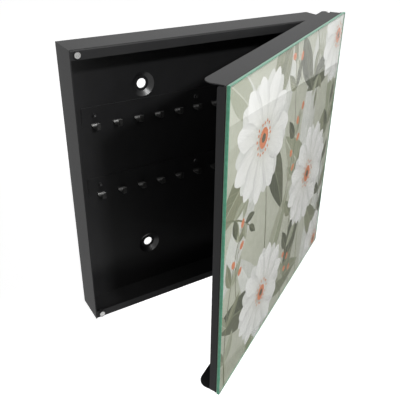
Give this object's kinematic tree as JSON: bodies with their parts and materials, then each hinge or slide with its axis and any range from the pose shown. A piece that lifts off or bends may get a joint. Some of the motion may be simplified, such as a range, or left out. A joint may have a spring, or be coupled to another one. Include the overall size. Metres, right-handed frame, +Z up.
{
  "type": "wall key box",
  "caption": "Shallow black steel wall box with rails of key hooks, closed by a hinged square glass door that magnets hold shut.",
  "frame": {"origin": "centre of the four screw seats, on the wall plane behind the box", "axes": "+Z up, +Y into the wall, +X towards the hinge side; the closed door faces -Y"},
  "size_m": [0.3167, 0.193, 0.3012],
  "materials": {
    "black_powder_coat": "fine textured powder coat",
    "plated_steel": "bright nickel or zinc plating",
    "white_tape": "foam tape",
    "printed_film": "printed film behind the glass",
    "clear_glass": "toughened float glass with ground edges"
  },
  "bodies": {
    "box": {"back_panel": "black_powder_coat", "top_panel": "black_powder_coat", "bottom_panel": "black_powder_coat", "left_side_panel": "black_powder_coat", "right_side_panel": "black_powder_coat", "upper_hook_rail": "black_powder_coat", "lower_hook_rail": "black_powder_coat", "upper_rail_rivets": "black_powder_coat", "lower_rail_rivets": "black_powder_coat", "upper_magnet_cup": "black_powder_coat", "lower_magnet_cup": "black_powder_coat", "upper_catch_magnet": "plated_steel", "lower_catch_magnet": "plated_steel", "hinge_box_leaf": "black_powder_coat", "box_leaf_rivets": "plated_steel", "hinge_pin": "plated_steel"},
    "door": {"hinge_door_leaf": "black_powder_coat", "door_leaf_rivets": "plated_steel", "door_tray": "black_powder_coat", "tray_corner_rivets": "plated_steel", "mounting_tape": "white_tape", "printed_film": "printed_film", "glass_panel": "clear_glass"}
  },
  "joints": [
    {"name": "door_hinge", "type": "hinge", "parent": "box", "child": "door", "pos_m": [0.1477, -0.00485, 0], "axis": [0, 0, 1], "range_deg": [-31.3, 58.7]}
  ]
}
